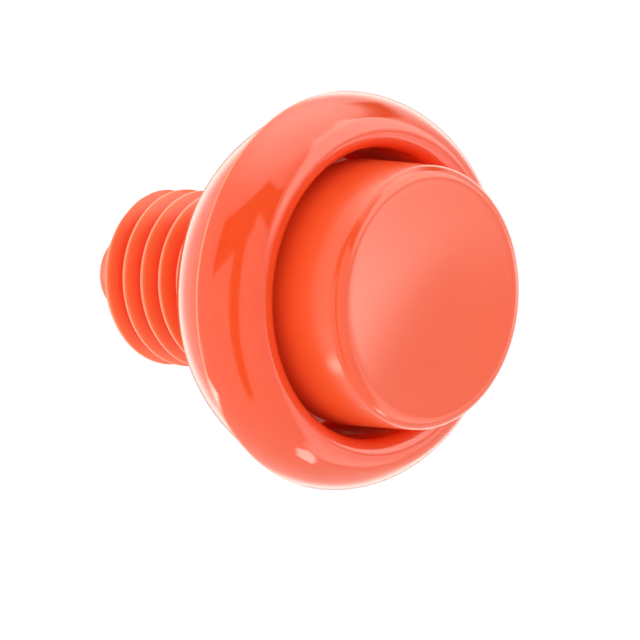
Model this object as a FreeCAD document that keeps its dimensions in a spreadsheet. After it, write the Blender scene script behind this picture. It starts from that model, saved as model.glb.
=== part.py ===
import FreeCAD, Part
import math
import os

import Sketcher

# Panel push button in millimetres. +Z is the press axis, out of the panel toward the finger,
# and the origin is the centre of the flat rear face that seats on the panel.
SIZES = {
    # Shank, to the outside of a 5/8 inch coarse thread
    "shank_rad": 7.9375,
    "shank_len": 15.875,
    "end_chamfer": 1.2,
    # Bezel ring, and the collar behind it, which steps and curves in from the lip
    "lip_rad": 17.4625,
    "lip_low_z": 6.84,
    "lip_thick": 0.16,
    "lip_step": 0.6625,
    "collar_high_in": 1.3125,
    "collar_high_z": 4.43,
    "collar_mid_in": 2.4125,
    "collar_mid_z": 2.25,
    "collar_low_in": 3.9625,
    "collar_low_z": 0.3,
    "seat_in": 4.3625,
    "bezel_wall": 4.7625,
    "flank_arc": 6.65,
    "crown_arc": 2.13,
    "mouth_round": 1.4,
    "floor_z": 2.0,
    # Plunger, with its cap clear of the recess all round
    "stem_rad": 3.57,
    "stem_clear": 0.1,
    "lead_in": 0.3,
    "stem_tip_z": -20.8,
    "tip_chamfer": 0.4,
    "cap_gap": 1.25,
    "cap_draft": 0.21,
    "cap_top_z": 18.15,
    "cap_round": 1.12,
    "cap_thick": 2.0,
    "dish_depth": 0.45,
    "skirt_z": 8.9,
    "skirt_wall": 1.4,
    # Retaining ring, which stops the plunger against the end of the shank
    "ring_gap": 0.1,
    "ring_thick": 0.8,
    "ring_rad": 5.4,
    "groove_rad": 2.9,
    "ring_slot": 4.8,
    "scallop_rad": 0.95,
    "scallop_at": 3.2,
    # Conical return spring, whose lowest coil is clear of the recess all round
    "wire_rad": 0.4,
    "spring_gap": 2.6,
    "spring_top_rad": 5.4,
    "spring_turns": 3.0,
}

# Heights and radii that follow from the sizes, written once and used by every sketch
RECESS_R = "(sizes.lip_rad - sizes.bezel_wall)"
CREST_R = f"({RECESS_R} + sizes.mouth_round)"
LIP_Z = "(sizes.lip_low_z + sizes.lip_thick)"
FLANK_X = "(sizes.lip_rad - sizes.flank_arc)"
BLEND = f"acos(({CREST_R} - {FLANK_X}) / (sizes.flank_arc - sizes.crown_arc))"
CREST_Z = f"({LIP_Z} + (sizes.flank_arc - sizes.crown_arc) * sin({BLEND}) + sizes.crown_arc)"
BORE_R = "(sizes.stem_rad + sizes.stem_clear)"
RING_TOP = "(-sizes.shank_len - sizes.ring_gap)"
RING_LOW = f"({RING_TOP} - sizes.ring_thick)"
CAP_UNDER = "(sizes.cap_top_z - sizes.cap_thick)"
CAP_R = f"({RECESS_R} - sizes.cap_gap)"
SKIRT_R = f"({CAP_R} + sizes.cap_draft)"
SKIRT_IN = f"({CAP_R} - sizes.skirt_wall)"
COIL_R = f"({RECESS_R} - sizes.spring_gap)"
SPRING_LOW = "(sizes.floor_z + sizes.wire_rad)"
SPRING_RISE = f"({CAP_UNDER} - sizes.floor_z - 2 * sizes.wire_rad)"

doc = FreeCAD.newDocument("panel_button")
sheet = doc.addObject("Spreadsheet::Sheet", "sizes")
for row, (name, value) in enumerate(SIZES.items(), start=1):
    sheet.set(f"A{row}", name)
    sheet.set(f"B{row}", str(value))
    sheet.setAlias(f"B{row}", name)
doc.recompute()


def number(expression):
    """The present value of an expression over the sheet."""
    value = sheet.evalExpression(expression)
    return float(getattr(value, "Value", value))


def new_sketch(body, name, role):
    """An empty sketch on one of the body's own origin planes."""
    plane = next(item for item in body.Origin.OriginFeatures if item.Role == role)
    sketch = body.newObject("Sketcher::SketchObject", name)
    sketch.AttachmentSupport = [(plane, "")]
    sketch.MapMode = "FlatFace"
    return sketch


def bind(sketch, constraint, name, expression):
    """Adds a driving constraint and ties it to the sheet."""
    index = sketch.addConstraint(constraint)
    sketch.renameConstraint(index, name)
    sketch.setExpression(f"Constraints.{name}", expression)


def arc_middle(start, end, radius, side):
    """A point half way along an arc that bulges to the left (1) or right (-1) of its chord."""
    chord = end - start
    half = chord.Length / 2
    sagitta = radius - math.sqrt(radius * radius - half * half)
    left = FreeCAD.Vector(-chord.y, chord.x, 0).normalize()
    return (start + end) / 2 + left * (side * sagitta)


def outline(sketch, corners, arcs=None):
    """A closed outline through corners given as pairs of expressions.

    arcs maps the number of a side to its radius expression and the side that it bulges to.
    """
    arcs = arcs or {}
    points = [FreeCAD.Vector(number(x), number(y), 0) for x, y in corners]
    ends = []
    for side, start in enumerate(points):
        end = points[(side + 1) % len(points)]
        if side in arcs:
            radius, bulge = arcs[side]
            middle = arc_middle(start, end, number(radius), bulge)
            geo = sketch.addGeometry(Part.Arc(start, middle, end), False)
            first = 1 if (sketch.getPoint(geo, 1) - start).Length < 1e-6 else 2
        else:
            geo = sketch.addGeometry(Part.LineSegment(start, end), False)
            first = 1
        ends.append((geo, first, 3 - first))
    for side, (geo, first, last) in enumerate(ends):
        after, after_first, _ = ends[(side + 1) % len(ends)]
        sketch.addConstraint(Sketcher.Constraint("Coincident", geo, last, after, after_first))
    for side, (x, y) in enumerate(corners):
        geo, first, _ = ends[side]
        for kind, axis, expression in (("DistanceX", -2, x), ("DistanceY", -1, y)):
            if expression == "0":
                sketch.addConstraint(Sketcher.Constraint("PointOnObject", geo, first, axis))
            else:
                value = number(expression)
                bind(sketch, Sketcher.Constraint(kind, geo, first, value), f"{kind}{side}", expression)
    for side, (radius, _) in arcs.items():
        geo = ends[side][0]
        bind(sketch, Sketcher.Constraint("Radius", geo, number(radius)), f"Radius{side}", radius)


def circle(sketch, name, radius, x="0", y="0"):
    """A circle with its radius and centre tied to the sheet."""
    centre = FreeCAD.Vector(number(x), number(y), 0)
    geo = sketch.addGeometry(Part.Circle(centre, FreeCAD.Vector(0, 0, 1), number(radius)), False)
    bind(sketch, Sketcher.Constraint("Radius", geo, number(radius)), f"{name}Radius", radius)
    for kind, axis, expression in (("DistanceX", -2, x), ("DistanceY", -1, y)):
        if expression == "0":
            sketch.addConstraint(Sketcher.Constraint("PointOnObject", geo, 3, axis))
        else:
            value = number(expression)
            bind(sketch, Sketcher.Constraint(kind, geo, 3, value), f"{name}{kind}", expression)


def bevels(x, y, radius, angles):
    """Corners on a small rounding about a centre, which is built as narrow bevels."""
    return [(f"{x} + {radius} * cos({a})", f"{y} + {radius} * sin({a})") for a in angles]


def turned(body, name, corners, arcs=None):
    """A solid of revolution about Z from a half section in the XZ plane."""
    sketch = new_sketch(body, f"{name}_section", "XZ_Plane")
    outline(sketch, corners, arcs)
    feature = body.newObject("PartDesign::Revolution", f"{name}_turned")
    feature.Profile = sketch
    feature.ReferenceAxis = (sketch, ["V_Axis"])
    feature.Angle = 360
    doc.recompute()
    return feature


# Housing: bezel ring, domed collar, recess and shank in one moulding
housing = doc.addObject("PartDesign::Body", "housing")
housing.Label = "housing"
turned(
    housing,
    "housing",
    [
        (BORE_R, "-sizes.shank_len"),
        ("sizes.shank_rad - sizes.end_chamfer", "-sizes.shank_len"),
        ("sizes.shank_rad", "-sizes.shank_len + sizes.end_chamfer"),
        ("sizes.shank_rad", "0"),
        ("sizes.lip_rad - sizes.seat_in", "0"),
        ("sizes.lip_rad - sizes.collar_low_in", "sizes.collar_low_z"),
        ("sizes.lip_rad - sizes.collar_mid_in", "sizes.collar_mid_z"),
        ("sizes.lip_rad - sizes.collar_high_in", "sizes.collar_high_z"),
        ("sizes.lip_rad - sizes.lip_step", "sizes.lip_low_z"),
        ("sizes.lip_rad", "sizes.lip_low_z"),
        ("sizes.lip_rad", LIP_Z),
        (
            f"{FLANK_X} + sizes.flank_arc * cos({BLEND})",
            f"{LIP_Z} + sizes.flank_arc * sin({BLEND})",
        ),
        *bevels(
            CREST_R,
            f"{CREST_Z} - sizes.crown_arc",
            "sizes.crown_arc",
            (f"(2 * {BLEND} + 90 deg) / 3", f"({BLEND} + 180 deg) / 3"),
        ),
        (CREST_R, CREST_Z),
        *bevels(CREST_R, f"{CREST_Z} - sizes.mouth_round", "sizes.mouth_round", ("120 deg", "150 deg")),
        (RECESS_R, f"{CREST_Z} - sizes.mouth_round"),
        (RECESS_R, "sizes.floor_z"),
        (f"{BORE_R} + sizes.lead_in", "sizes.floor_z"),
        (BORE_R, "sizes.floor_z - sizes.lead_in"),
    ],
    {10: ("sizes.flank_arc", -1)},
)

# Plunger: dished cap, skirt and stem in one moulding
plunger = doc.addObject("PartDesign::Body", "plunger")
plunger.Label = "plunger"
DISH_R = f"({CAP_R} - sizes.cap_round)"
turned(
    plunger,
    "plunger",
    [
        ("0", "sizes.stem_tip_z"),
        ("sizes.stem_rad - sizes.tip_chamfer", "sizes.stem_tip_z"),
        ("sizes.stem_rad", "sizes.stem_tip_z + sizes.tip_chamfer"),
        ("sizes.stem_rad", RING_LOW),
        ("sizes.groove_rad", RING_LOW),
        ("sizes.groove_rad", RING_TOP),
        ("sizes.stem_rad", RING_TOP),
        ("sizes.stem_rad", CAP_UNDER),
        (SKIRT_IN, CAP_UNDER),
        (SKIRT_IN, "sizes.skirt_z"),
        (SKIRT_R, "sizes.skirt_z"),
        (CAP_R, "sizes.cap_top_z - sizes.cap_round"),
        *bevels(DISH_R, "sizes.cap_top_z - sizes.cap_round", "sizes.cap_round", ("30 deg", "60 deg")),
        (DISH_R, "sizes.cap_top_z"),
        (f"0.55 * {DISH_R}", "sizes.cap_top_z - 0.7 * sizes.dish_depth"),
        ("0", "sizes.cap_top_z - sizes.dish_depth"),
    ],
)

# Retaining ring: an open ring with three prongs that grip the groove in the stem
ring = doc.addObject("PartDesign::Body", "retaining_ring")
ring.Label = "retaining_ring"
ring_outline = new_sketch(ring, "ring_outline", "XY_Plane")
circle(ring_outline, "Outer", "sizes.ring_rad")
circle(ring_outline, "Inner", "sizes.groove_rad")
ring_pad = ring.newObject("PartDesign::Pad", "ring_pad")
ring_pad.Profile = ring_outline
ring_pad.setExpression("Length", "sizes.ring_thick")
doc.recompute()
ring_volume = ring.Shape.Volume
ring_cut = new_sketch(ring, "ring_cut", "XY_Plane")
SCALLOP_X = "sizes.scallop_at * cos(30 deg)"
SCALLOP_Y = "sizes.scallop_at * sin(30 deg)"
circle(ring_cut, "Right", "sizes.scallop_rad", SCALLOP_X, SCALLOP_Y)
circle(ring_cut, "Left", "sizes.scallop_rad", f"-{SCALLOP_X}", SCALLOP_Y)
outline(
    ring_cut,
    [
        ("-sizes.ring_slot / 2", "-sizes.ring_rad - 1"),
        ("sizes.ring_slot / 2", "-sizes.ring_rad - 1"),
        ("sizes.ring_slot / 2", "-sizes.scallop_rad"),
        ("-sizes.ring_slot / 2", "-sizes.scallop_rad"),
    ],
)
ring_pocket = ring.newObject("PartDesign::Pocket", "ring_pocket")
ring_pocket.Profile = ring_cut
ring_pocket.Type = "ThroughAll"
ring_pocket.Midplane = True
ring.setExpression("Placement.Base.z", RING_LOW)
doc.recompute()

# Return spring: a conical coil from the recess floor to the underside of the cap
coil = doc.addObject("Part::Helix", "coil")
coil.setExpression("Pitch", f"{SPRING_RISE} / sizes.spring_turns")
coil.setExpression("Height", SPRING_RISE)
coil.setExpression("Radius", COIL_R)
coil.setExpression("Angle", f"atan((sizes.spring_top_rad - {COIL_R}) / {SPRING_RISE})")
coil.setExpression("Placement.Base.z", SPRING_LOW)
wire = doc.addObject("Part::RegularPolygon", "wire")
wire.Polygon = 4
wire.setExpression("Circumradius", "sizes.wire_rad")
wire.setExpression("Placement.Base.x", COIL_R)
wire.setExpression("Placement.Base.z", SPRING_LOW)
wire.Placement.Rotation = FreeCAD.Rotation(FreeCAD.Vector(1, 0, 0), 90)
spring = doc.addObject("Part::Sweep", "return_spring")
spring.Label = "return_spring"
spring.Sections = [wire]
spring.Spine = (coil, [])
spring.Solid = True
spring.Frenet = True
doc.recompute()

pieces = [housing, plunger, ring, spring]
for item in doc.Objects:
    if "Invalid" in item.State or "Error" in item.State:
        raise RuntimeError(f"{item.Name} did not build: {item.State}")
for piece in pieces:
    if piece.Shape.isNull() or not piece.Shape.isValid() or len(piece.Shape.Solids) != 1:
        raise RuntimeError(f"{piece.Label} is not one valid solid")
if ring.Shape.Volume > ring_volume - 5:
    raise RuntimeError("the cut in the retaining ring removed nothing")

os.makedirs("parts", exist_ok=True)
for piece in pieces:
    piece.Shape.exportStep(f"parts/{piece.Label}.step")
    box = piece.Shape.BoundBox
    print(piece.Label, round(piece.Shape.Volume, 1), box)
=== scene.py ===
import math

import bmesh
import bpy
from mathutils import Matrix, Vector


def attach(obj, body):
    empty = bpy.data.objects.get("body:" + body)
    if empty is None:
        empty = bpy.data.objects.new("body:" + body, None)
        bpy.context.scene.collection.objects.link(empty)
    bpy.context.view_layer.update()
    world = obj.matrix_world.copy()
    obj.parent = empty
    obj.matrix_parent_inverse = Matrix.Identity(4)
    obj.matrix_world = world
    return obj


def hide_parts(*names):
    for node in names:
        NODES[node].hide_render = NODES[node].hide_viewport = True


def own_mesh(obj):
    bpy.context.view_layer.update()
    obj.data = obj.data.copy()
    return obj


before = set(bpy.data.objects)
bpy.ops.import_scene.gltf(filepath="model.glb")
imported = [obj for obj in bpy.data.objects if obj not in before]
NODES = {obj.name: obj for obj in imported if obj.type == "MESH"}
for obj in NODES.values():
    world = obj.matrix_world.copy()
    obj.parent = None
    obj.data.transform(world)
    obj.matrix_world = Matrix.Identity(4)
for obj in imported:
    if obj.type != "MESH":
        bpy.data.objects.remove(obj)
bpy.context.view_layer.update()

MM = 0.001
SCENE = bpy.context.scene


# Materials
TINT_STOPS = (0.3, 0.7)


def node_tree(holder):
    """An empty node tree on a material or a world."""
    holder.use_nodes = True
    tree = holder.node_tree
    tree.nodes.clear()
    return tree


def add(tree, kind, **values):
    """A shader node with its inputs set by name."""
    node = tree.nodes.new(kind)
    for name, value in values.items():
        if name in node.inputs:
            node.inputs[name].default_value = value
        else:
            setattr(node, name, value)
    return node


def link(tree, source, output, target, name):
    tree.links.new(source.outputs[output], target.inputs[name])


def surface(name, low, high, rough, bump, grain, **principled):
    """A material whose colour, gloss and surface vary a little over the piece."""
    material = bpy.data.materials.new(name)
    tree = node_tree(material)
    place = add(tree, "ShaderNodeTexCoord")
    blotch = add(tree, "ShaderNodeTexNoise", Scale=grain[0], Detail=3.0, Roughness=0.55)
    fine = add(tree, "ShaderNodeTexNoise", Scale=grain[1], Detail=2.0, Roughness=0.5)
    for noise in (blotch, fine):
        link(tree, place, "Object", noise, "Vector")
    tint = add(tree, "ShaderNodeValToRGB")
    for stop, position, colour in zip(tint.color_ramp.elements, TINT_STOPS, (low, high)):
        stop.position = position
        stop.color = (*colour, 1.0)
    link(tree, blotch, "Fac", tint, "Fac")
    gloss = add(tree, "ShaderNodeMapRange")
    gloss.inputs["To Min"].default_value = rough[0]
    gloss.inputs["To Max"].default_value = rough[1]
    link(tree, blotch, "Fac", gloss, "Value")
    relief = add(tree, "ShaderNodeBump", Strength=bump[0], Distance=bump[1])
    link(tree, fine, "Fac", relief, "Height")
    shader = add(tree, "ShaderNodeBsdfPrincipled")
    for socket, value in principled.items():
        shader.inputs[socket.replace("_", " ")].default_value = value
    link(tree, tint, "Color", shader, "Base Color")
    link(tree, gloss, "Result", shader, "Roughness")
    link(tree, relief, "Normal", shader, "Normal")
    out = add(tree, "ShaderNodeOutputMaterial")
    link(tree, shader, "BSDF", out, "Surface")
    return material


def shade_by_radius(material, inner, outer):
    """Makes a material's colour follow the distance from the press axis, in millimetres, from
    its first colour at inner to its second at outer; on the thread this is painted shade in the
    roots and painted highlight toward the crests.
    """
    tree = material.node_tree
    tint = next(node for node in tree.nodes if node.type == "VALTORGB")
    tint.color_ramp.elements[0].position = 0.0
    tint.color_ramp.elements[1].position = 1.0
    place = add(tree, "ShaderNodeTexCoord")
    flat = add(tree, "ShaderNodeVectorMath", operation="MULTIPLY")
    flat.inputs[1].default_value = (1.0, 1.0, 0.0)
    radius = add(tree, "ShaderNodeVectorMath", operation="LENGTH")
    share = add(tree, "ShaderNodeMapRange")
    share.inputs["From Min"].default_value = inner * MM
    share.inputs["From Max"].default_value = outer * MM
    link(tree, place, "Object", flat, 0)
    link(tree, flat, "Vector", radius, 0)
    link(tree, radius, "Value", share, "Value")
    link(tree, share, "Result", tint, "Fac")


def dress(piece, material):
    piece.data.materials.clear()
    piece.data.materials.append(material)


# Linear colours, each as the two ends of a slight variation
HOUSING_ORANGE = ((0.92, 0.09, 0.02), (0.95, 0.1, 0.024))
# The thread's orange runs from deeper at the root to paler at the crest: painted shade in the
# roots, painted highlight toward the crests
THREAD_SHADED_ORANGE = ((0.92, 0.055, 0.016), (0.95, 0.16, 0.036))
CAP_ORANGE = ((0.93, 0.09, 0.022), (0.96, 0.1, 0.026))
# Cap's side: a slightly lighter copy of the cap's orange, painted light against the shade near
# the recess
CAP_SIDE_LIGHTER_ORANGE = ((0.95, 0.1, 0.024), (0.98, 0.11, 0.028))
# Pale orange for thin edges and crests: a painted highlight
PAINTED_HIGHLIGHT_ORANGE = ((0.97, 0.26, 0.115), (0.98, 0.29, 0.135))
MOULD_RELIEF = (0.05, 0.00002)
MOULD_GRAIN = (60.0, 900.0)
STEEL_RELIEF = (0.1, 0.00002)
PLASTIC_IOR = 1.5


def moulded(name, colours, rough, **principled):
    """A plastic with the fine grain of its mould."""
    principled["IOR"] = PLASTIC_IOR
    return surface(name, *colours, rough, MOULD_RELIEF, MOULD_GRAIN, **principled)


PLASTIC = moulded(
    "orange_plastic",
    HOUSING_ORANGE,
    rough=(0.05, 0.09),
    Subsurface_Weight=0.7,
    Subsurface_Scale=0.004,
    Subsurface_Radius=(1.0, 0.2, 0.1),
)
THREAD_SHADED_PLASTIC = moulded("thread_plastic_painted_shade", THREAD_SHADED_ORANGE, rough=(0.3, 0.38))
CAP_PLASTIC = moulded("cap_plastic", CAP_ORANGE, rough=(0.1, 0.15))
# Satin side of the cap, in the lighter orange that is painted light against the recess's shade
CAP_SIDE_SATIN_LIT = moulded("cap_side_satin_painted_light", CAP_SIDE_LIGHTER_ORANGE, rough=(0.2, 0.26))
# Painted highlight along the parting edge, the thread's crests, the shank's end and the stem
# tip's chamfer
PAINTED_EDGE_HIGHLIGHT = moulded("parting_edge_painted_highlight", PAINTED_HIGHLIGHT_ORANGE, rough=(0.25, 0.35))
STEEL = surface(
    "spring_steel",
    low=(0.1, 0.1, 0.105),
    high=(0.2, 0.2, 0.205),
    rough=(0.32, 0.46),
    bump=STEEL_RELIEF,
    grain=(220.0, 2600.0),
    Metallic=1.0,
)
CLIP_STEEL = surface(
    "ring_steel",
    low=(0.36, 0.36, 0.37),
    high=(0.5, 0.5, 0.51),
    rough=(0.25, 0.4),
    bump=STEEL_RELIEF,
    grain=(260.0, 3000.0),
    Metallic=1.0,
)
dress(NODES["retaining_ring"], CLIP_STEEL)


# Meshes
MERGE = 1e-7
SLIVER = 1e-8
SHARP = math.radians(28)


def arc(x, y, radius, start, end, steps):
    """Points on an arc about a centre, in millimetres and degrees."""
    turns = [math.radians(start + (end - start) * i / steps) for i in range(steps + 1)]
    return [(x + radius * math.cos(a), y + radius * math.sin(a)) for a in turns]


def bulge(start, end, radius, steps):
    """Points on an arc from start to end that bows outward, to the right of its chord."""
    (x0, y0), (x1, y1) = start, end
    half = math.hypot(x1 - x0, y1 - y0) / 2
    away = math.sqrt(radius * radius - half * half) / (2 * half)
    x = (x0 + x1) / 2 - (y1 - y0) * away
    y = (y0 + y1) / 2 + (x1 - x0) * away
    first = math.degrees(math.atan2(y0 - y, x0 - x))
    last = math.degrees(math.atan2(y1 - y, x1 - x))
    return arc(x, y, radius, first, last, steps)


def finished(name, vertices, faces, body, node):
    """A smooth mesh piece that stands for a CAD node."""
    mesh = bpy.data.meshes.new(name)
    shell = bmesh.new()
    spots = [shell.verts.new(Vector(v) * MM) for v in vertices]
    for face in faces:
        shell.faces.new([spots[i] for i in face])
    bmesh.ops.remove_doubles(shell, verts=shell.verts, dist=MERGE)
    bmesh.ops.dissolve_degenerate(shell, edges=shell.edges, dist=SLIVER)
    bmesh.ops.recalc_face_normals(shell, faces=shell.faces)
    shell.to_mesh(mesh)
    shell.free()
    mesh.polygons.foreach_set("use_smooth", [True] * len(mesh.polygons))
    mesh.set_sharp_from_angle(angle=SHARP)
    piece = bpy.data.objects.new(name, mesh)
    SCENE.collection.objects.link(piece)
    dress(piece, PLASTIC)
    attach(piece, body)
    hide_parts(node)
    return piece


def lathe(profile, steps):
    """Vertices and faces of a profile of (radius, z) pairs turned about Z."""
    vertices = []
    faces = []
    for i in range(steps):
        turn = 2 * math.pi * i / steps
        for radius, z in profile:
            vertices.append((radius * math.cos(turn), radius * math.sin(turn), z))
    rows = len(profile)
    for i in range(steps):
        for j in range(rows - 1):
            a = i * rows + j
            b = (i + 1) % steps * rows + j
            corners = (a, b, b + 1, a + 1)
            if profile[j][0] == 0:
                corners = (a, b + 1, a + 1)
            elif profile[j + 1][0] == 0:
                corners = (a, b, a + 1)
            faces.append(corners)
    return vertices, faces


# Housing, in millimetres: bezel ring, domed collar and recess, turned, with the shank's bore
STEPS = 192
HAIR = 0.05
SHANK_R = 7.9375
SHANK_END = -15.875
END_R = 7.1
BORE_R = 3.67
LEAD_IN = 0.3
SEAT_R = 12.95
SEAT_ROUND = 0.5
COLLAR_FOOT = (13.5, 0.3)
COLLAR_HEAD = (16.72, 6.7)
COLLAR_BOW = 12.0
LIP_R = 17.4625
LIP_Z = 7.0
LIP_LOW = 6.84
LIP_BREAK = 0.04
LIP_FILLET = 0.12
FLANK = 6.65
CROWN = 2.13
MOUTH = 1.4
RECESS_R = 12.7
FLOOR_Z = 2.0
FLOOR_FILLET = 0.5
CREST_R = RECESS_R + MOUTH
FLANK_X = LIP_R - FLANK
BLEND = math.degrees(math.acos((CREST_R - FLANK_X) / (FLANK - CROWN)))
CREST_Z = LIP_Z + (FLANK - CROWN) * math.sin(math.radians(BLEND)) + CROWN

# Thread: 11 to the inch, with a crest at CREST_AT half a turn from +X, run out below the collar
INCH = 25.4
THREADS_PER_INCH = 11
PITCH = INCH / THREADS_PER_INCH
THREAD_DEPTH = 0.5413 * PITCH
ROOT_R = SHANK_R - THREAD_DEPTH
CREST_AT = -14.85
RUN_OUT_AT = -1.4
RUN_OUT = 1.2
FIRST_TURN, LAST_TURN = -2, 9

HOUSING = [(SHANK_R, 0.0), (SEAT_R - HAIR, 0.0)]
HOUSING += arc(SEAT_R, SEAT_ROUND, SEAT_ROUND, -80, -40, 4)
HOUSING += bulge(COLLAR_FOOT, COLLAR_HEAD, COLLAR_BOW, 16)
HOUSING += arc(COLLAR_HEAD[0] + LIP_FILLET, LIP_LOW - LIP_FILLET, LIP_FILLET, 180, 90, 4)
HOUSING += [(LIP_R - HAIR, LIP_LOW), (LIP_R, LIP_LOW + LIP_BREAK), (LIP_R, LIP_Z)]
HOUSING += arc(FLANK_X, LIP_Z, FLANK, 1, BLEND, 16)
HOUSING += arc(CREST_R, CREST_Z - CROWN, CROWN, BLEND + 4, 90, 14)
HOUSING += arc(CREST_R, CREST_Z - MOUTH, MOUTH, 96, 180, 14)
HOUSING += arc(RECESS_R - FLOOR_FILLET, FLOOR_Z + FLOOR_FILLET, FLOOR_FILLET, 0, -90, 6)
HOUSING += [(BORE_R + LEAD_IN, FLOOR_Z), (BORE_R, FLOOR_Z - LEAD_IN)]
HOUSING += [(BORE_R, SHANK_END), (ROOT_R, SHANK_END)]

# Rows along the thread, as shares of a pitch from the crest, with a share of the depth at each
CREST_HALF = 0.06
CREST_DROP = 0.02
TOP, FOOT = 0.085, 0.375
SHOULDER = 0.055
FLANK_ROWS = 6
ROOT_MID = 0.5
ROOT_FLAT = 0.1
ROOT_EDGE = 0.13
ROOT_RISE = 0.985
RUN = (FOOT - TOP) / FLANK_ROWS
FALL = (1 - SHOULDER) / FLANK_ROWS
THREAD = [(-CREST_HALF, CREST_DROP), (0.0, 0.0), (CREST_HALF, CREST_DROP), (TOP, SHOULDER)]
THREAD += [(TOP + RUN * k, SHOULDER + FALL * k) for k in range(1, FLANK_ROWS)]
THREAD += [(ROOT_MID - ROOT_EDGE, ROOT_RISE), (ROOT_MID - ROOT_FLAT, 1.0), (ROOT_MID, 1.0)]
THREAD += [(ROOT_MID + ROOT_FLAT, 1.0), (ROOT_MID + ROOT_EDGE, ROOT_RISE)]
THREAD += [(1 - FOOT + RUN * k, 1 - FALL * k) for k in range(1, FLANK_ROWS + 1)]


def thread_spot(share, depth, turn):
    """Radius and height on the thread, trimmed by the end chamfer and run out at the collar."""
    z = CREST_AT + PITCH * (share + turn / (2 * math.pi) - 0.5)
    run_out = min(1.0, max(0.0, (RUN_OUT_AT - z) / RUN_OUT))
    radius = SHANK_R - THREAD_DEPTH * depth * run_out
    if z <= SHANK_END:
        return ROOT_R, SHANK_END
    if z >= 0.0:
        return SHANK_R, 0.0
    return min(radius, END_R + (z - SHANK_END)), z


def thread_grid():
    """Rows of constant phase that climb one pitch a turn, joined to themselves at the seam."""
    turns = range(FIRST_TURN, LAST_TURN)
    rows = [(k + share, depth) for k in turns for share, depth in THREAD]
    vertices = []
    faces = []
    for i in range(STEPS):
        turn = 2 * math.pi * i / STEPS
        for share, depth in rows:
            radius, z = thread_spot(share, depth, turn)
            vertices.append((radius * math.cos(turn), radius * math.sin(turn), z))
    count = len(rows)
    for i in range(STEPS):
        lift = len(THREAD) if i == STEPS - 1 else 0
        for j in range(count - 1 - lift):
            a = i * count + j
            b = (i + 1) % STEPS * count + j + lift
            faces.append((a, b, b + 1, a + 1))
    return vertices, faces


turned, turned_faces = lathe(HOUSING, STEPS)
thread, thread_faces = thread_grid()
thread_faces = [tuple(v + len(turned) for v in face) for face in thread_faces]
housing = finished(
    "housing_moulding", turned + thread, turned_faces + thread_faces, "housing", "housing"
)
# Painted shade on the thread: darker toward the roots, paler toward the crests
shade_by_radius(THREAD_SHADED_PLASTIC, ROOT_R, SHANK_R)
for material in (PAINTED_EDGE_HIGHLIGHT, THREAD_SHADED_PLASTIC):
    housing.data.materials.append(material)

# Looks on the housing: pale on the parting edge, the thread's crests and the shank's end as a
# painted highlight, and the thread's plastic, painted darker in the roots and paler toward the
# crests, on the rest of the shank
LIP_DEEP = 0.3
LIP_RISE = 0.1
CREST_DEEP = 0.03
CREST_FROM = -2.0
END_RISE = 0.35
ROOT_SLACK = 0.1
for face in housing.data.polygons:
    spot = face.center / MM
    radius = math.hypot(spot.x, spot.y)
    lip = radius > LIP_R - LIP_DEEP and LIP_LOW < spot.z < LIP_Z + LIP_RISE
    crest = abs(radius - SHANK_R) < CREST_DEEP and spot.z < CREST_FROM
    end = radius > END_R and SHANK_END < spot.z < SHANK_END + END_RISE
    if lip or crest or end:
        face.material_index = 1
    elif radius > ROOT_R - ROOT_SLACK and spot.z < 0.0:
        face.material_index = 2

# Plunger, in millimetres: dished cap with a rounded edge, skirt and stem
CAP_R = 11.45
CAP_TOP = 18.15
CAP_UNDER = 16.15
SKIRT_IN = 10.05
SKIRT_R = 11.66
SKIRT_Z = 8.9
SKIRT_BREAK = 0.1
SKIRT_FILLET = 0.44
STEM_R = 3.57
STEM_END = -20.8
STEM_FILLET = 0.48
TIP = 0.5
TIP_BREAK = 0.37
GROOVE_R = 2.9
RING_PLAY = 0.1
RING_THICK = 0.8
GROOVE_TOP = SHANK_END - RING_PLAY
GROOVE_LOW = GROOVE_TOP - RING_THICK
EDGE = 1.12
DISH = 0.45
DISH_R = CAP_R - EDGE
SPHERE = (DISH_R**2 + DISH**2) / (2 * DISH)
SPREAD = math.degrees(math.asin(DISH_R / SPHERE))
PLUNGER = [(0, STEM_END), (STEM_R - TIP, STEM_END), (STEM_R - TIP_BREAK, STEM_END + HAIR)]
PLUNGER += [(STEM_R - HAIR, STEM_END + TIP_BREAK), (STEM_R, STEM_END + TIP)]
PLUNGER += [(STEM_R, GROOVE_LOW), (GROOVE_R, GROOVE_LOW)]
PLUNGER += [(GROOVE_R, GROOVE_TOP), (STEM_R, GROOVE_TOP)]
PLUNGER += arc(STEM_R + STEM_FILLET, CAP_UNDER - STEM_FILLET, STEM_FILLET, 180, 90, 4)
PLUNGER += arc(SKIRT_IN - SKIRT_FILLET, CAP_UNDER - SKIRT_FILLET, SKIRT_FILLET, 90, 0, 4)
PLUNGER += [(SKIRT_IN, SKIRT_Z + HAIR), (SKIRT_IN + HAIR, SKIRT_Z)]
PLUNGER += [(SKIRT_R - SKIRT_BREAK, SKIRT_Z), (SKIRT_R, SKIRT_Z + SKIRT_BREAK)]
PLUNGER += arc(DISH_R, CAP_TOP - EDGE, EDGE, 1.5, 86, 16)
PLUNGER += arc(0.0, CAP_TOP - DISH + SPHERE, SPHERE, SPREAD - 90, -90, 14)[:-1]
PLUNGER += [(0, CAP_TOP - DISH)]
plunger = finished("plunger_moulding", *lathe(PLUNGER, STEPS), "plunger", "plunger")
dress(plunger, CAP_PLASTIC)
for material in (CAP_SIDE_SATIN_LIT, PAINTED_EDGE_HIGHLIGHT):
    plunger.data.materials.append(material)

# The stem tip's chamfer is pale, a painted highlight, and everything below the cap's rounded
# edge is satin in a slightly lighter orange, painted light against the shade near the recess
for face in plunger.data.polygons:
    spot = face.center / MM
    if spot.z < STEM_END + TIP and math.hypot(spot.x, spot.y) > STEM_R - TIP:
        face.material_index = 2
    elif spot.z < CAP_TOP - EDGE:
        face.material_index = 1

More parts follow.
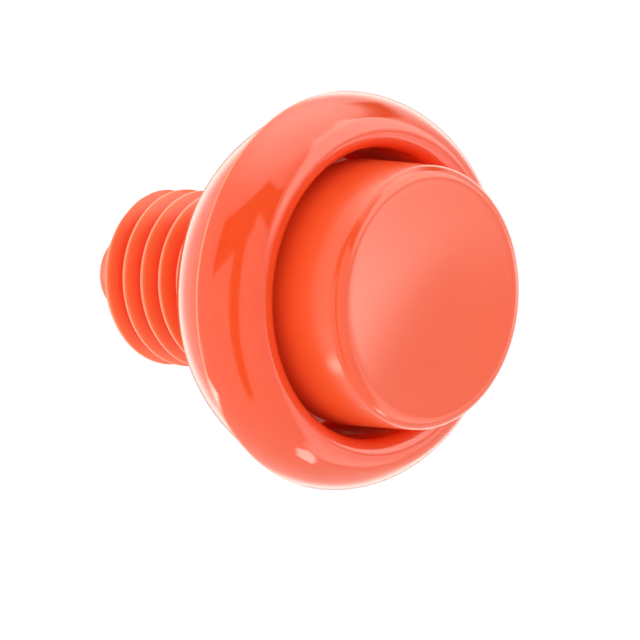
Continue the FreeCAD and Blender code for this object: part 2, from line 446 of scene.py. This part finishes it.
# Return spring, in millimetres: round wire between the recess floor and the cap's underside
WIRE = 0.4
LOW_RAD = 10.1
TOP_RAD = 5.4
TURNS = 3.0
COIL_STEPS = 480
WIRE_SIDES = 14


def coil_point(share):
    """The wire's centre at a share of the way from the floor to the cap, in millimetres."""
    rise = CAP_UNDER - FLOOR_Z - 2 * WIRE
    angle = share * TURNS * 2 * math.pi
    radius = LOW_RAD + (TOP_RAD - LOW_RAD) * share
    height = FLOOR_Z + WIRE + rise * share
    return Vector((radius * math.cos(angle), radius * math.sin(angle), height))


def coil_mesh(steps, sides):
    """A round tube along the coil."""
    points = [coil_point(i / steps) for i in range(steps + 1)]
    vertices = []
    for i, point in enumerate(points):
        ahead = (points[min(i + 1, steps)] - points[max(i - 1, 0)]).normalized()
        across = Vector((point.x, point.y, 0)).normalized()
        up = ahead.cross(across).normalized()
        across = up.cross(ahead)
        for k in range(sides):
            turn = 2 * math.pi * k / sides
            spot = point + across * (WIRE * math.cos(turn)) + up * (WIRE * math.sin(turn))
            vertices.append(spot * MM)
    faces = [tuple(reversed(range(sides))), tuple(range(steps * sides, (steps + 1) * sides))]
    for i in range(steps):
        for k in range(sides):
            a = i * sides + k
            b = i * sides + (k + 1) % sides
            faces.append((a, b, b + sides, a + sides))
    mesh = bpy.data.meshes.new("spring_coil")
    mesh.from_pydata([tuple(v) for v in vertices], [], faces)
    mesh.validate()
    mesh.polygons.foreach_set("use_smooth", [len(p.vertices) == 4 for p in mesh.polygons])
    return mesh


spring = bpy.data.objects.new("spring_coil", coil_mesh(COIL_STEPS, WIRE_SIDES))
SCENE.collection.objects.link(spring)
dress(spring, STEEL)
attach(spring, "housing")
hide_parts("return_spring")
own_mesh(spring)

# Camera, in millimetres: the press axis points right, a little down and toward the viewer. The
# point at AIM_Z on it falls SHIFT_PIXELS from the middle of the photo.
TILT = math.radians(44.92)
ROLL = math.radians(-5.1)
REACH = 500.0
AIM_Z = 4.0
SENSOR = 36.0
PHOTO_PIXELS = 640
PIXELS_PER_MM = 11.387
SHIFT_PIXELS = Vector((-2.57, 31.4))
SLANT = math.sin(TILT)
AXIS_Z = Vector((SLANT * math.cos(ROLL), SLANT * math.sin(ROLL), math.cos(TILT)))
AXIS_Y = Vector((-math.sin(ROLL), math.cos(ROLL), 0.0))
AXIS_X = AXIS_Y.cross(AXIS_Z)
TO_PART = Matrix((AXIS_X, AXIS_Y, AXIS_Z))
EYE = TO_PART @ Vector((*(-SHIFT_PIXELS / PIXELS_PER_MM), REACH))
EYE += Vector((0.0, 0.0, AIM_Z))
camera_data = bpy.data.cameras.new("camera")
camera_data.sensor_width = SENSOR
camera_data.lens = PIXELS_PER_MM * REACH / PHOTO_PIXELS * SENSOR
camera_data.clip_start = 0.01
camera = bpy.data.objects.new("camera", camera_data)
camera.matrix_world = Matrix.Translation(EYE * MM) @ TO_PART.to_4x4()
SCENE.collection.objects.link(camera)
SCENE.camera = camera
RIGHT, UP, BACK = (TO_PART @ Vector(v) for v in ((1, 0, 0), (0, 1, 0), (0, 0, 1)))

# World: a white tent with soft panels. A ray's turn is degrees to the right of the line to the
# camera, and its lift is degrees above it.
world = bpy.data.worlds.new("tent")
SCENE.world = world
tree = node_tree(world)
place = add(tree, "ShaderNodeTexCoord")


def maths(operation, *values):
    """A maths node over sockets and plain numbers."""
    node = add(tree, "ShaderNodeMath", operation=operation)
    for slot, value in enumerate(values):
        if isinstance(value, float):
            node.inputs[slot].default_value = value
        else:
            tree.links.new(value, node.inputs[slot])
    return node.outputs[0]


def along(direction):
    """How far a ray points in a direction."""
    node = add(tree, "ShaderNodeVectorMath", operation="DOT_PRODUCT")
    node.inputs[1].default_value = direction
    link(tree, place, "Generated", node, 0)
    return node.outputs["Value"]


def ramp(value, low, high, start, end):
    """A smooth step from start to end as a value goes from low to high."""
    node = add(tree, "ShaderNodeMapRange", interpolation_type="SMOOTHSTEP")
    limits = {"From Min": low, "From Max": high, "To Min": start, "To Max": end}
    for socket, number in limits.items():
        node.inputs[socket].default_value = number
    tree.links.new(value, node.inputs["Value"])
    return node.outputs[0]


turn = maths("DEGREES", maths("ARCTAN2", along(RIGHT), along(BACK)))
lift = maths("DEGREES", maths("ARCSINE", along(UP)))


def panel(centre, half, lean, soft, gain):
    """A soft-edged patch in turn and lift, sheared by its lean, that adds or takes light."""
    sideways = maths("SUBTRACT", turn, centre[0])
    upward = maths("SUBTRACT", lift, centre[1])
    across = maths("SUBTRACT", sideways, maths("MULTIPLY", upward, lean[0]))
    climb = maths("SUBTRACT", upward, maths("MULTIPLY", sideways, lean[1]))
    beside = maths("SUBTRACT", maths("ABSOLUTE", across), half[0])
    above = maths("SUBTRACT", maths("ABSOLUTE", climb), half[1])
    return ramp(maths("MAXIMUM", beside, above), -soft, soft, gain, 0.0)


# Panels seen in the gloss: centre and half size in degrees, lean, softness in degrees and gain
PANELS = {
    "visor_left": ((-36.0, 30.0), (26.0, 13.0), (0.0, 0.4), 3.0, -2.2),
    "visor_right": ((14.0, 34.0), (24.0, 9.0), (0.0, -0.5), 3.0, -2.2),
    "slit": ((-28.0, -16.0), (7.0, 42.0), (0.1, 0.0), 4.0, -1.8),
    "back_shade": ((134.0, 46.0), (24.0, 7.0), (0.0, 0.0), 5.0, -1.5),
    "left_wall": ((-104.0, 0.0), (10.0, 26.0), (0.0, 0.0), 5.0, 1.8),
    "right_sky": ((80.0, 35.0), (28.0, 30.0), (0.0, 0.0), 6.0, 3.2),
    "right_wall": ((109.5, -2.0), (12.0, 5.0), (1.2, 0.0), 3.0, 3.2),
    "right_table": ((88.0, -18.0), (16.0, 11.0), (0.0, 0.0), 2.0, 1.2),
    "right_floor": ((88.0, -48.0), (18.0, 20.0), (0.0, 0.0), 6.0, 2.0),
    "left_glint": ((-113.0, -36.0), (8.0, 5.0), (0.0, 0.0), 2.0, 9.0),
    "floor_glint": ((116.0, -77.0), (30.0, 5.0), (0.0, 0.0), 1.5, 6.0),
}

# Gloss level: a base, a bright roof, and a bright band round a dark middle behind the part
BASE_SHINE = 1.5
LEAST_SHINE = 0.03
ROOF = (40.0, 78.0, 0.0, 2.2)
FAR_BAND = (-0.9, -0.72, 0.9, 0.0)
FAR_MIDDLE = (-0.995, -0.91, -1.8, 0.0)
shine = maths("ADD", ramp(lift, *ROOF), BASE_SHINE)
for limits in (FAR_BAND, FAR_MIDDLE):
    shine = maths("ADD", shine, ramp(along(BACK), *limits))
for placing in PANELS.values():
    shine = maths("ADD", shine, panel(*placing))
shine = maths("MAXIMUM", shine, LEAST_SHINE)

# Plain level for diffuse light, brighter from the front and left
FRONT_LEFT = (BACK * 2 - RIGHT).normalized()
FILL = (0.1, 0.95, 0.82, 1.2)
fill = ramp(along(FRONT_LEFT), *FILL)


def mixed(chosen, first, second):
    """First where a ray isn't of the chosen kind, second where it is."""
    return maths("ADD", first, maths("MULTIPLY", chosen, maths("SUBTRACT", second, first)))


WHITE = (1.0, 1.0, 1.0, 1.0)
WARM_WHITE = (1.0, 0.97, 0.9, 1.0)
path = add(tree, "ShaderNodeLightPath")
plain = add(tree, "ShaderNodeBackground", Color=WHITE)
tree.links.new(mixed(path.outputs["Is Camera Ray"], fill, 1.0), plain.inputs["Strength"])
lit = add(tree, "ShaderNodeBackground", Color=WARM_WHITE)
tree.links.new(shine, lit.inputs["Strength"])
tent = add(tree, "ShaderNodeMixShader")
link(tree, path, "Is Glossy Ray", tent, "Fac")
tree.links.new(plain.outputs["Background"], tent.inputs[1])
tree.links.new(lit.outputs["Background"], tent.inputs[2])
out = add(tree, "ShaderNodeOutputWorld")
link(tree, tent, "Shader", out, "Surface")

# Floor, in metres: plain and pale, and low enough not to hide the part from behind or below
FLOOR_HALF = 3.0
FLOOR_DROP = -0.6
FLOOR_GREY = (0.3, 0.3, 0.3, 1.0)
FLOOR_GLOW = (0.74, 0.74, 0.74, 1.0)
floor_mesh = bpy.data.meshes.new("floor")
corners = [(-1, -1), (1, -1), (1, 1), (-1, 1)]
floor_mesh.from_pydata(
    [(FLOOR_HALF * x, FLOOR_HALF * y, FLOOR_DROP) for x, y in corners], [], [(0, 1, 2, 3)]
)
floor = bpy.data.objects.new("floor", floor_mesh)
SCENE.collection.objects.link(floor)
floor.visible_diffuse = floor.visible_glossy = floor.visible_shadow = False
pale = bpy.data.materials.new("pale_floor")
floor_tree = node_tree(pale)
matt = add(floor_tree, "ShaderNodeBsdfDiffuse", Color=FLOOR_GREY)
glow = add(floor_tree, "ShaderNodeEmission", Color=FLOOR_GLOW)
floor_path = add(floor_tree, "ShaderNodeLightPath")
link(floor_tree, floor_path, "Is Camera Ray", glow, "Strength")
blend = add(floor_tree, "ShaderNodeAddShader")
floor_tree.links.new(matt.outputs["BSDF"], blend.inputs[0])
floor_tree.links.new(glow.outputs["Emission"], blend.inputs[1])
floor_out = add(floor_tree, "ShaderNodeOutputMaterial")
link(floor_tree, blend, "Shader", floor_out, "Surface")
dress(floor, pale)

SCENE.view_settings.view_transform = "Standard"
